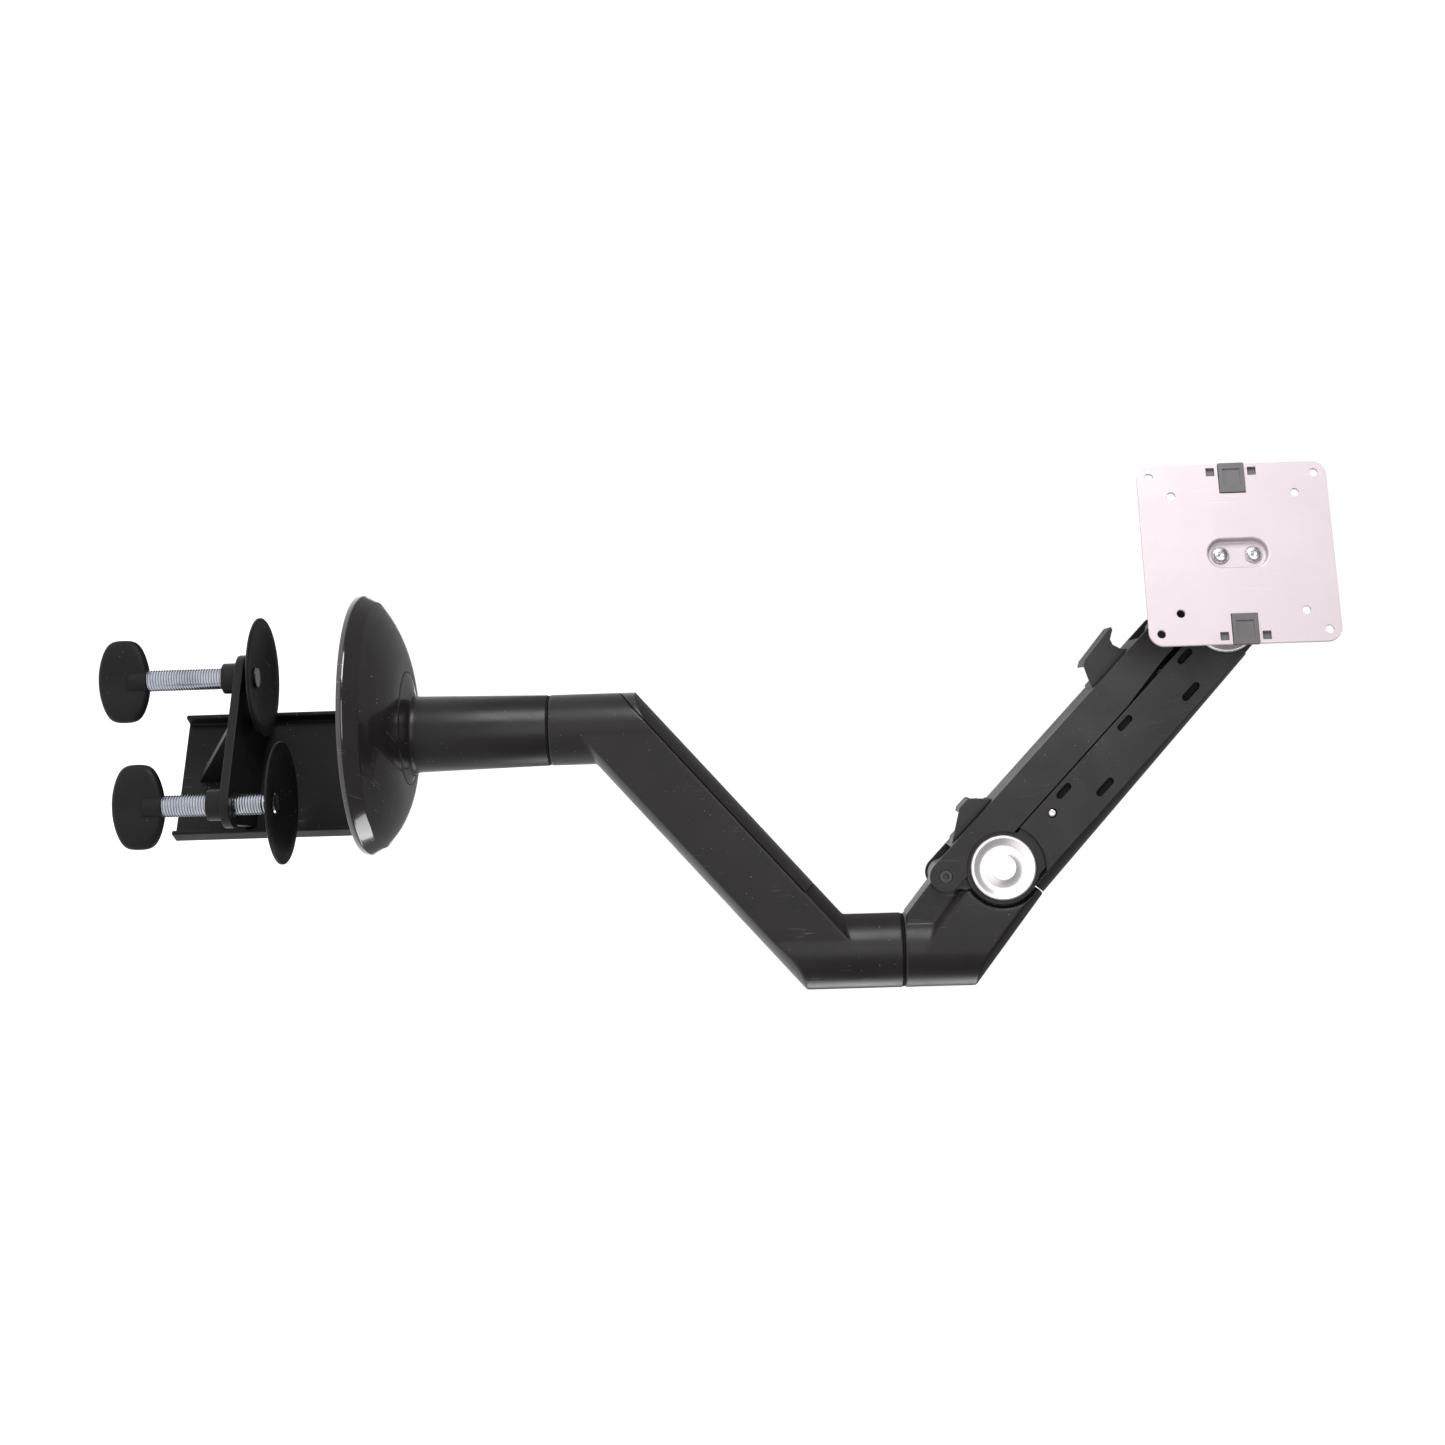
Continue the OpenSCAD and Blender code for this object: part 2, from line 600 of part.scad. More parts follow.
// ---- Far end ----
module knuckle_2d() {
    circle(20);
    translate([-drop_x, -drop_z]) circle(8.5);
    polygon([[-19.9, -2], [-drop_x - 8.4, -drop_z + 1], [-drop_x + 7, -drop_z - 4.8], [16, -16], [19.9, 2]]);
}
module end_knuckle() color([0.1, 0.1, 0.1]) at_far() difference() {
    union() {
        intersection() {
            side_plate(-ear_v, ear_v) knuckle_2d();
            translate([-40, -30, -60]) cube([40 + head_x - barrel_r - 1, 60, 100]);
        }
        translate([head_x, 0, 0]) rod_z(barrel_r, -barrel_h, barrel_h);
        translate([2, -8, -14]) cube([head_x - 2, 16, 28]);
    }
    rod_y(9, 30);
    translate([-drop_x, 0, -drop_z]) rod_y(pin_r, 30);
    translate([head_x, 0, 0]) rod_z(7, -30, 30);
}
module end_bushes() color([0.85, 0.84, 0.8]) at_far() flanged_bushes();
module link_pin_upper() color([0.2, 0.2, 0.2]) at_far() translate([-drop_x, 0, -drop_z]) link_pin();
module swivel_bushes() color([0.85, 0.84, 0.8]) at_far() translate([head_x, 0, 0]) {
    tube_z(7, 5 + fit, -barrel_h, -barrel_h + 14);
    tube_z(7, 5 + fit, barrel_h - 14, barrel_h);
}

// ---- Head, X along the plate's normal from the swivel axis ----
module head_yoke() color([0.1, 0.1, 0.1]) at_head() difference() {
    union() {
        for (s = [0, 1]) mirror([0, 0, s]) {
            rod_z(barrel_r, barrel_h + gap, barrel_h + 5.5);
            translate([0, -barrel_r, barrel_h + gap]) cube([web_x + web_t, 2 * barrel_r, 5.5 - gap]);
        }
        translate([web_x, -14, -barrel_h - 5.5]) cube([web_t, 28, 2 * barrel_h + 11]);
        both_sides() side_plate(9, 14) hull() {
            translate([tilt_x, 0]) circle(8);
            translate([web_x + 1, -10]) square([1, 20]);
        }
    }
    rod_z(5, -60, 60);
    translate([tilt_x, 0, 0]) rod_y(4, 30);
}
module swivel_pin() color([0.7, 0.7, 0.72]) at_head() union() {
    rod_z(5, -barrel_h - 5.5, barrel_h + 5.5);
    for (s = [0, 1]) mirror([0, 0, s]) rod_z(7, barrel_h + 5.5, barrel_h + 7);
}
module tilt_block() color([0.12, 0.12, 0.12]) at_head() difference() {
    union() {
        translate([tilt_x, 0, 0]) rod_y(8, 8.7);
        rod_x(8, tilt_x, hub_x - gap);
    }
    translate([tilt_x, 0, 0]) rod_y(4 + fit, 30);
    rod_x(5 + fit, 45.6, 60);
}
module tilt_bolt() color([0.6, 0.6, 0.62]) at_head() translate([tilt_x, 0, 0]) difference() {
    union() {
        rod_y(4, 14);
        both_sides() translate([0, 14, 0]) rotate([-90, 0, 0]) cylinder(r = 6.5, h = 4);
    }
    both_sides() translate([0, 16, 0]) rotate([-90, 0, 0]) cylinder(r = 2.5, h = 5, $fn = 6);
}

// ---- Mounting plate, drawn in XY and turned to face along the head's X ----
module at_plate() at_head() translate([plate_off, 0, 0]) rotate([90, 0, 90]) children();
module hole_square(spacing) for (x = [-1, 1], y = [-1, 1])
    translate([x * spacing / 2, y * spacing / 2]) children();
module vesa_plate() color([0.82, 0.8, 0.82]) at_plate() difference() {
    union() {
        translate([0, 0, -plate_sheet]) linear_extrude(plate_sheet) rounded_square(plate_w, plate_w, plate_r);
        translate([0, 0, -dish_deep - plate_sheet]) linear_extrude(dish_deep + 1) rotate(90) slot_2d(40, 22);
    }
    translate([0, 0, -dish_deep]) linear_extrude(20) rotate(90) slot_2d(36, 18);
    for (s = [-1, 1]) translate([0, s * 10, -30]) cylinder(r = 3.1, h = 40);
    for (p = [outer_pattern, inner_pattern]) translate([0, 0, -5]) linear_extrude(10)
        hole_square(p) circle(hole_r);
    for (s = [-1, 1]) translate([s * (latch_y + 5), 0, 0]) cube([latch_l + 10, latch_w, 20], center = true);
    for (x = [-1, 1], y = [-1, 1]) translate([x * (plate_w / 2 - 5), y * 12.6, 0])
        cube([5.2, 5.2, 20], center = true);
}
module plate_hub() color([0.3, 0.3, 0.32]) at_plate() union() {
    difference() {
        translate([0, 0, -dish_deep - plate_sheet - 4]) linear_extrude(4) rotate(90) slot_2d(36, 20);
        for (s = [-1, 1]) translate([0, s * 10, -30]) cylinder(r = 2.5, h = 40);
    }
    rod_z(5, -plate_off + 45.9, -dish_deep - plate_sheet - 4);
}
module plate_screws() color([0.8, 0.8, 0.82]) at_plate() for (s = [-1, 1]) translate([0, s * 10, 0])
    difference() {
        union() {
            rod_z(2.5, -dish_deep - plate_sheet - 4, -dish_deep);
            translate([0, 0, -dish_deep]) cylinder(r1 = 5.35, r2 = 4, h = 3.2);
        }
        translate([0, 0, -dish_deep + 1.2]) cylinder(r = 1.9, h = 5, $fn = 6);
    }
module latch(side) at_plate() mirror([side < 0 ? 1 : 0, 0, 0]) translate([latch_y, 0, 0]) difference() {
    union() {
        translate([gap - latch_l / 2, gap - latch_w / 2, -plate_sheet])
            cube([latch_l, latch_w - 2 * gap, plate_sheet + 0.8]);
        for (y = [-1, 1]) translate([-7, y * 5.2 - 1.2, -plate_sheet - 4]) cube([8, 2.4, 4.1]);
        translate([1.2, -15.6, -plate_sheet - 2 - gap]) cube([6.6, 31.2, 2]);
        translate([1.2, -7, -plate_sheet - 2 - gap]) cube([6.6, 14, 2.8]);
    }
    translate([-5, -5.2, 0]) cube([11, 10.4, 5]);
}
module latch_left() color([0.5, 0.5, 0.52]) latch(-1);
module latch_right() color([0.5, 0.5, 0.52]) latch(1);

// ---- Drawing ----
base_pad();
base_plate();
base_cover();
cover_ring();
clamp_channel();
clamp_shelf();
clamp_gusset();
screw_collars();
post_tube();
post_sleeve();
post_bushes();
post_washer();
post_bolts();
pressure_disc_a();
clamp_screw_a();
thumb_paddle_a();
pressure_disc_b();
clamp_screw_b();
thumb_paddle_b();
lower_link();
link_shaft();
link_shaft_retainer();
elbow_bushes();
elbow_washer();
link_cable_cover();
elbow_casting();
elbow_shaft();
elbow_shaft_retainer();
pivot_bushes();
crank_pin();
link_pin_lower();
arm_frame();
arm_cheeks();
arm_cover();
pivot_caps();
end_caps();
lift_axle();
end_axle();
cheek_screws();
spring_block();
lift_spring();
spring_yoke();
spring_nut();
parallel_link();
cable_clip_near();
cable_clip_far();
end_knuckle();
end_bushes();
link_pin_upper();
swivel_bushes();
head_yoke();
swivel_pin();
tilt_block();
tilt_bolt();
vesa_plate();
plate_hub();
plate_screws();
latch_left();
latch_right();
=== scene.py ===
import json
import math

import bmesh
import bpy
from mathutils import Matrix, Vector

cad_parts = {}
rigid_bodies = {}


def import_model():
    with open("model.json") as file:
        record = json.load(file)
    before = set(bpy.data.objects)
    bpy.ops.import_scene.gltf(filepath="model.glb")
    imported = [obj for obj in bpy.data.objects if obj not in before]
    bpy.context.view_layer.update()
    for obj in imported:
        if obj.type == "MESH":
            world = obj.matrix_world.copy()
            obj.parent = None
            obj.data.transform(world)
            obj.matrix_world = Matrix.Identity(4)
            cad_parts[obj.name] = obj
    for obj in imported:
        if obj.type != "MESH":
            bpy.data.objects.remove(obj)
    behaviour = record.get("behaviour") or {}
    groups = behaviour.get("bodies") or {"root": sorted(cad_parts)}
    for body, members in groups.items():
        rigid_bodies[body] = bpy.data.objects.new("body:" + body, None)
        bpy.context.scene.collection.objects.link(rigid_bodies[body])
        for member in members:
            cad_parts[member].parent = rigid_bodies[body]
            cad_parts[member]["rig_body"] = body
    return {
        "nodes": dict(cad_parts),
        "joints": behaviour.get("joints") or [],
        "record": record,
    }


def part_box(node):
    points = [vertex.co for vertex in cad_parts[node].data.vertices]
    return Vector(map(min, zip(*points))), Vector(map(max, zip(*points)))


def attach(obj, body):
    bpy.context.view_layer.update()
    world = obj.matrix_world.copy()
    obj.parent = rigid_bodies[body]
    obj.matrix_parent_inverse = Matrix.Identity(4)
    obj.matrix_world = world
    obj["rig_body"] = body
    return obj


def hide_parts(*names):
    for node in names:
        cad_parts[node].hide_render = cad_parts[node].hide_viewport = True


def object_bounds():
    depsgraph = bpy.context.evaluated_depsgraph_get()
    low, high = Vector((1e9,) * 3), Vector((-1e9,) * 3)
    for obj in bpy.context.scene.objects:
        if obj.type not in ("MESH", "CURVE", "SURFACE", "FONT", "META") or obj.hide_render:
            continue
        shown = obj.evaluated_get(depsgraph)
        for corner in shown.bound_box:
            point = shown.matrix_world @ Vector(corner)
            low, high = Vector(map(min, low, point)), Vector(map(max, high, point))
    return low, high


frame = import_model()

cad_lo, cad_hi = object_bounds()
MM = 0.001
TAU = 2 * math.pi

# ------------------------------------------------------------ frames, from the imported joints
JOINTS = {j["name"]: j for j in frame["joints"]}
UP = Vector((0, 0, 1))


def at(name):
    return Vector(JOINTS[name]["pos_m"])


def axes(origin, x, z):
    x, z = x.normalized(), z.normalized()
    m = Matrix((x, z.cross(x), z)).transposed().to_4x4()
    m.translation = origin
    return m


main_at, far_at, elbow_at = at("arm_lift"), at("knuckle_level"), at("elbow_swivel")
POST_H = at("post_swivel").z / MM
ARM_LEN = (far_at - main_at).length / MM
along = (far_at - main_at).normalized()
across = -Vector(JOINTS["arm_lift"]["axis"])
facing = Vector(JOINTS["plate_turn"]["axis"]).normalized()
ROW = Matrix.Identity(4)
ARM = axes(main_at, along, along.cross(across))
PLATE = axes(at("plate_turn"), UP.cross(facing), facing)


def extent(node, place=ROW):
    """(lowest, highest) corner of a CAD node in that frame, in millimetres."""
    to = place.inverted()
    co = [to @ v.co / MM for v in frame["nodes"][node].data.vertices]
    return (Vector([min(c[i] for c in co) for i in range(3)]),
            Vector([max(c[i] for c in co) for i in range(3)]))


# ------------------------------------------------------------ materials
def wire(nt, kind, ins=(), **settings):
    """A node of that kind; ins are (input, value or output socket) pairs."""
    n = nt.nodes.new(kind)
    for k, v in settings.items():
        setattr(n, k, v)
    for key, v in ins:
        if isinstance(v, bpy.types.NodeSocket):
            nt.links.new(v, n.inputs[key])
        else:
            n.inputs[key].default_value = v
    return n


def noise(nt, place, scale, detail=3, rough=0.5, distort=0.0):
    return wire(nt, "ShaderNodeTexNoise", [("Vector", place), ("Scale", scale), ("Detail", detail),
                                           ("Roughness", rough), ("Distortion", distort)]).outputs["Fac"]


def remap(nt, value, a, b, lo=0.0, hi=1.0):
    return wire(nt, "ShaderNodeMapRange", [("Value", value), ("From Min", a), ("From Max", b),
                                           ("To Min", lo), ("To Max", hi)]).outputs["Result"]


def math_node(nt, op, a, b=0.0):
    return wire(nt, "ShaderNodeMath", [(0, a), (1, b)], operation=op).outputs[0]


def mix_colour(nt, fac, a, b):
    return wire(nt, "ShaderNodeMix", [(0, fac), (6, a), (7, b)], data_type="RGBA").outputs[2]


def finish_of(name, colour, rough, metal=0.0, mottle=0.12, smudge=0.08, grain=0.0, grain_scale=2200.0,
              dust=0.0, scratch=0.0, coat=0.0, specular=0.5, dust_colour=(0.34, 0.32, 0.33)):
    """A procedural finish: mottled colour, smudged roughness, fine grain, scratches and dust."""
    m = bpy.data.materials.new(name)
    m.use_nodes = True
    nt = m.node_tree
    shader = nt.nodes["Principled BSDF"]
    shader.inputs["Metallic"].default_value = metal
    shader.inputs["Specular IOR Level"].default_value = specular
    shader.inputs["Coat Weight"].default_value = coat
    shader.inputs["Coat Roughness"].default_value = 0.06
    place = nt.nodes.new("ShaderNodeTexCoord").outputs["Object"]
    cloudy = remap(nt, noise(nt, place, 38, 5, 0.6), 0.3, 0.7)
    low = (*[c * (1 - mottle) for c in colour], 1)
    high = (*[min(1, c * (1 + mottle)) for c in colour], 1)
    tint = mix_colour(nt, cloudy, low, high)
    gloss = remap(nt, noise(nt, place, 16, 4, 0.65, 0.6), 0.3, 0.7, rough - smudge, rough + smudge)
    height = noise(nt, place, grain_scale, 2)
    bump = math_node(nt, "MULTIPLY", height, grain)
    if scratch:
        long_way = wire(nt, "ShaderNodeMapping", [("Vector", place), ("Rotation", (0.5, 0.9, 0.3)),
                                                  ("Scale", (900, 26, 40))]).outputs[0]
        line = remap(nt, noise(nt, long_way, 1.0, 1), 0.69, 0.72)
        where = remap(nt, noise(nt, place, 24, 2), 0.52, 0.62, 0.0, scratch)
        cut = math_node(nt, "MULTIPLY", line, where)
        tint = mix_colour(nt, cut, tint, (*[min(1, c * 1.6 + 0.10) for c in colour], 1))
        bump = math_node(nt, "SUBTRACT", bump, math_node(nt, "MULTIPLY", cut, 0.3))
    if dust:
        cells = wire(nt, "ShaderNodeTexVoronoi", [("Vector", place), ("Scale", 430.0)])
        speck = remap(nt, cells.outputs["Distance"], 0.16, 0.10)
        chance = wire(nt, "ShaderNodeSeparateColor", [(0, cells.outputs["Color"])]).outputs[0]
        some = remap(nt, chance, 0.86, 0.9)
        where = remap(nt, noise(nt, place, 20, 3), 0.42, 0.60, 0.15, 1.0)
        specks = math_node(nt, "MULTIPLY", math_node(nt, "MULTIPLY", speck, some), where)
        specks = math_node(nt, "MULTIPLY", specks, dust)
        tint = mix_colour(nt, specks, tint, (*dust_colour, 1))
        gloss = math_node(nt, "ADD", gloss, math_node(nt, "MULTIPLY", specks, 0.3))
    nt.links.new(tint, shader.inputs["Base Color"])
    nt.links.new(gloss, shader.inputs["Roughness"])
    b = wire(nt, "ShaderNodeBump", [("Height", bump), ("Distance", 0.0002), ("Strength", 0.6)])
    nt.links.new(b.outputs[0], shader.inputs["Normal"])
    return m


BLACK = (0.0115, 0.0100, 0.0112)
LOOK = {
    "satin_black": finish_of("satin_black", BLACK, 0.36, grain=0.25, dust=0.5, scratch=0.35, specular=0.24),
    "powder_black": finish_of("powder_black", (0.0075, 0.0068, 0.0074), 0.44, grain=0.5,
                              grain_scale=1500, dust=0.7, scratch=0.4, specular=0.15),
    "gloss_black": finish_of("gloss_black", (0.012, 0.010, 0.011), 0.16, coat=0.5, smudge=0.05,
                             dust=0.9, scratch=0.3),
    "strip_black": finish_of("strip_black", (0.013, 0.0115, 0.013), 0.24, smudge=0.06, dust=0.5,
                             scratch=0.3, specular=0.4),
    "sheet_black": finish_of("sheet_black", BLACK, 0.42, grain=0.35, dust=0.35, scratch=0.25,
                             specular=0.27),
    "cover_black": finish_of("cover_black", (0.012, 0.0108, 0.012), 0.26, smudge=0.05, dust=0.4,
                             scratch=0.4, specular=0.36),
    "clip_black": finish_of("clip_black", (0.013, 0.012, 0.013), 0.46, grain=0.6,
                            grain_scale=1300, dust=0.4, specular=0.3),
    "paddle_black": finish_of("paddle_black", (0.0075, 0.007, 0.0074), 0.52, grain=0.9,
                              grain_scale=1100, dust=0.25, specular=0.15),
    "pad_rubber": finish_of("pad_rubber", (0.012, 0.012, 0.012), 0.8, grain=1.0,
                            grain_scale=900, specular=0.2),
    "zinc": finish_of("zinc", (0.40, 0.42, 0.46), 0.22, metal=1.0, mottle=0.2, grain=0.15),
    "bare_steel": finish_of("bare_steel", (0.46, 0.46, 0.48), 0.32, metal=1.0, mottle=0.15, scratch=0.3),
    "bolt_steel": finish_of("bolt_steel", (0.50, 0.48, 0.50), 0.24, metal=1.0, mottle=0.12, grain=0.15),
    "pin_black": finish_of("pin_black", (0.04, 0.038, 0.04), 0.40, metal=0.4, grain=0.2, specular=0.3),
    "spring_steel": finish_of("spring_steel", (0.32, 0.32, 0.34), 0.34, metal=1.0, grain=0.2),
    "bright_chrome": finish_of("bright_chrome", (0.78, 0.75, 0.765), 0.33, metal=0.8,
                               mottle=0.015, smudge=0.015, grain=0.02, scratch=0.15),
    "plate_steel": finish_of("plate_steel", (0.45, 0.395, 0.42), 0.46, metal=0.3, mottle=0.025,
                             grain=0.3, grain_scale=1800, dust=0.35, scratch=0.18,
                             dust_colour=(0.24, 0.21, 0.22)),
    "latch_grey": finish_of("latch_grey", (0.078, 0.070, 0.075), 0.40, grain=0.4,
                            grain_scale=1500, mottle=0.08),
    "nylon": finish_of("nylon", (0.72, 0.71, 0.66), 0.45, grain=0.2),
    "seam_black": finish_of("seam_black", (0.005, 0.005, 0.005), 0.7, grain=0.4, specular=0.1),
}
SLOT = {s["node"]: s["material_slot"] for s in frame["record"]["subparts"]}
for node, o in frame["nodes"].items():
    o.data.materials.clear()
    o.data.materials.append(LOOK[SLOT[node]])


# ------------------------------------------------------------ mesh helpers, sizes in millimetres
def add_object(name, bm, place=ROW, sharp=38, scale=MM):
    bmesh.ops.remove_doubles(bm, verts=bm.verts, dist=0.002 if scale == MM else 2e-6)
    bmesh.ops.dissolve_degenerate(bm, edges=bm.edges, dist=0.0005 if scale == MM else 5e-7)
    bmesh.ops.recalc_face_normals(bm, faces=bm.faces)
    me = bpy.data.meshes.new(name)
    bm.to_mesh(me)
    bm.free()
    me.transform(place @ Matrix.Scale(scale, 4))
    me.shade_smooth()
    me.set_sharp_from_angle(angle=math.radians(sharp))
    o = bpy.data.objects.new(name, me)
    bpy.context.scene.collection.objects.link(o)
    return o


def belongs(o, node, slot):
    """o moves with that CAD node and takes that finish."""
    o.data.materials.clear()
    o.data.materials.append(LOOK[slot])
    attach(o, frame["nodes"][node]["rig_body"])


def stands_for(o, *nodes):
    """o takes the place, body and finish of these CAD nodes."""
    belongs(o, nodes[0], SLOT[nodes[0]])
    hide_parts(*nodes)
    return o


def skin(bm, rows, wrap=False):
    """Quads between rows of points."""
    vs = [[bm.verts.new(p) for p in r] for r in rows]
    n = len(vs[0])
    for a, b in zip(vs, vs[1:]):
        for i in range(n if wrap else n - 1):
            k = (i + 1) % n
            bm.faces.new([a[i], a[k], b[k], b[i]])
    return vs


def lathe(bm, profile, steps, centre=lambda z: (0, 0)):
    """An open turned skin; profile is (radius, height) pairs about a centre that may move with height."""
    rows = []
    for r, z in profile:
        cx, cy = centre(z)
        rows.append([(cx + r * math.cos(TAU * i / steps), cy + r * math.sin(TAU * i / steps), z)
                     for i in range(steps)])
    return skin(bm, rows, wrap=True)


def bevelled(bm, edges, width, seg):
    bmesh.ops.bevel(bm, geom=edges, offset=width * MM, segments=seg, profile=0.5, affect="EDGES",
                    clamp_overlap=True)


SHARP_EDGE = math.radians(30)


def rounded(node, width, wide=None):
    """The CAD node's own shape, its sharp edges rounded; wide is (test, width) for edges that get more."""
    bm = bmesh.new()
    bm.from_mesh(frame["nodes"][node].data)
    bmesh.ops.remove_doubles(bm, verts=bm.verts, dist=2e-6)
    bmesh.ops.dissolve_limit(bm, angle_limit=math.radians(0.8), verts=bm.verts, edges=bm.edges)

    def sharp(test):
        return [e for e in bm.edges if len(e.link_faces) == 2
                and e.calc_face_angle(0) > SHARP_EDGE and all(test(v.co) for v in e.verts)]

    if wide:
        bevelled(bm, sharp(wide[0]), wide[1], 5)
    bevelled(bm, sharp(lambda co: not (wide and wide[0](co))), width, 2)
    o = add_object(node + "_shaped", bm, scale=1.0)
    keep = o.modifiers.new("normals", "WEIGHTED_NORMAL")
    keep.keep_sharp = True
    return stands_for(o, node)


CAST_VOXEL, CAST_SMOOTHING, CAST_KEPT = 0.75, 7, 0.35


def cast(node):
    """The CAD node's own shape with the soft corners of a painted casting."""
    me = frame["nodes"][node].data.copy()
    o = bpy.data.objects.new(node + "_cast", me)
    bpy.context.scene.collection.objects.link(o)
    m = o.modifiers.new("skin", "REMESH")
    m.mode, m.voxel_size, m.adaptivity = "VOXEL", CAST_VOXEL * MM, 0.0
    m = o.modifiers.new("soften", "SMOOTH")
    m.factor, m.iterations = 0.5, CAST_SMOOTHING
    m = o.modifiers.new("thin", "DECIMATE")
    m.ratio = CAST_KEPT
    bpy.context.view_layer.update()
    done = bpy.data.meshes.new_from_object(o.evaluated_get(bpy.context.evaluated_depsgraph_get()))
    o.modifiers.clear()
    o.data = done
    o.data.shade_smooth()
    return stands_for(o, node)


# a box about the plate's dish, and the width left alone about its screw holes
DISH_LONG, DISH_WIDE, DISH_BACK, DISH_FRONT, HOLE_CLEAR = 21, 12, -8, 0.5, 3.6


def in_dish(co):
    p = PLATE.inverted() @ Vector(co) / MM
    return (max(abs(p.x), abs(p.y)) < DISH_LONG and min(abs(p.x), abs(p.y)) < DISH_WIDE
            and DISH_BACK < p.z < DISH_FRONT
            and min((Vector((p.x, p.y)) - c).length for c in DISH_HOLES) > HOLE_CLEAR)


# the two screws stand apart along the dish
lo_s, hi_s = extent("plate_screws", PLATE)
HEAD_R = min(hi_s.x - lo_s.x, hi_s.y - lo_s.y) / 2
apart = Vector((hi_s.x - HEAD_R, 0)) if hi_s.x > hi_s.y else Vector((0, hi_s.y - HEAD_R))
DISH_HOLES = [apart, -apart]

for node, width in {"clamp_shelf": 0.8, "clamp_gusset": 0.35, "screw_collars": 0.7, "clamp_channel": 0.9,
                    "arm_cheeks": 0.35, "parallel_link": 0.45, "tilt_block": 0.4, "plate_hub": 0.3,
                    "link_cable_cover": 0.4, "arm_cover": 0.5, "cable_clip_near": 0.6, "cable_clip_far": 0.6,
                    "latch_left": 0.3, "latch_right": 0.3, "link_pin_lower": 0.25,
                    "link_pin_upper": 0.25, "arm_frame": 0.25}.items():
    rounded(node, width)
rounded("vesa_plate", 0.3, wide=(in_dish, 1.7))
for node in ("lower_link", "elbow_casting", "end_knuckle", "head_yoke"):
    cast(node)


# ------------------------------------------------------------ base cover, ring and post
lo_b, hi_b = extent("base_cover")
BASE_R = (hi_b.x - lo_b.x) / 2
BASE_SHIFT = -(hi_b.y + lo_b.y) / 2
lo_r, hi_r = extent("cover_ring")
RING_R = (hi_r.x - lo_r.x) / 2 + 0.6
RING_SHIFT = -(hi_r.y + lo_r.y) / 2
RIM_IN, RIM_TOP, DOME_RISE = 6.4, 13.2, 14.6
bm = bmesh.new()
slope = [(BASE_R - 3, 0.7), (BASE_R - 0.5, 0.7), (BASE_R, 1.2), (BASE_R, 4.4), (BASE_R - 0.35, 4.9),
         (BASE_R - 0.9, 5.4), (BASE_R - 4.0, 11.6), (BASE_R - 4.9, 12.6), (BASE_R - RIM_IN, RIM_TOP)]
top = [(BASE_R - RIM_IN + (RING_R - BASE_R + RIM_IN) * f,
        RIM_TOP + DOME_RISE * math.sin(f * math.pi / 2) ** 0.80)
       for f in (0.12, 0.25, 0.38, 0.5, 0.62, 0.74, 0.86, 0.96)]
rim = [(RING_R + 0.25, 27.85), (RING_R - 0.05, 27.6), (RING_R - 0.1, 25.0)]
lathe(bm, slope + top + rim, 160, centre=lambda z: (
    0, -BASE_SHIFT + (BASE_SHIFT - RING_SHIFT) * max(0, min(1, (z - RIM_TOP) / DOME_RISE))))
stands_for(add_object("base_cover_shaped", bm, sharp=45), "base_cover")

bm = bmesh.new()
FOOT_R = (extent("post_sleeve")[1].x - extent("post_sleeve")[0].x) / 2
ring = [(RING_R - 3, 26.0), (RING_R - 0.55, 27.2), (RING_R - 0.5, 27.75), (RING_R - 0.9, 28.05)]
RISE_FROM, SWEEP_FROM = 28.1, 0.62
rise = [(FOOT_R + 0.6 + (RING_R - 1.4 - FOOT_R - 0.6) * (1 - f),
         RISE_FROM + 1.9 * f + 5.5 * max(0, f - SWEEP_FROM) ** 1.6)
        for f in (0.1, 0.25, 0.4, 0.55, 0.7, 0.82, 0.92, 1.0)]
lathe(bm, ring + rise, 128,
      centre=lambda z: (0, -RING_SHIFT * max(0, min(1, 1 - (z - RISE_FROM) / 2.6))))
stands_for(add_object("cover_ring_shaped", bm), "cover_ring")

bm = bmesh.new()
FLARE, FLARE_TOP, FLARE_H, BORE_R = 2.6, 34.6, 4.8, 18.5
foot = [(FOOT_R + FLARE - FLARE * math.sin(a), FLARE_TOP - FLARE_H * math.cos(a)) for a in
        [math.pi / 2 * k / 8 for k in range(9)]]
lathe(bm, [(BORE_R, 29.6), *foot, (FOOT_R - 0.1, 37), (22.65, POST_H - 1.7), (22.45, POST_H - 1.2),
           (22.0, POST_H - 1.0), (BORE_R, POST_H - 1.0)], 128)
stands_for(add_object("post_sleeve_shaped", bm), "post_sleeve")


# ------------------------------------------------------------ clamp screws, paddles and discs
turn = abs(next(c["ratio"] for c in frame["record"]["behaviour"]["couplings"]
                if "screw" in c["joint"] + c["follows"]))
PITCH = TAU / max(turn, 1 / turn) / MM
SCREW_X = at("screw_b_turn").x / MM
lo_t, hi_t = extent("clamp_screw_b")
SCREW_R = (hi_t.x - lo_t.x) / 2


def grip_of(key, here):
    """(turn, width, thickness) of the CAD's finger grip, along and across its long way."""
    co = [here.inverted() @ v.co / MM for v in frame["nodes"]["thumb_paddle_" + key].data.vertices]
    turn = 0.5 * math.atan2(sum(2 * c.x * c.y for c in co), sum(c.x * c.x - c.y * c.y for c in co))
    low, high = extent("thumb_paddle_" + key, here @ Matrix.Rotation(turn, 4, "Z"))
    return turn, high.x - low.x, high.y - low.y


THREAD_DEPTH, THREAD_STEPS, THREAD_RUN_OUT = 0.95, 28, 1.5


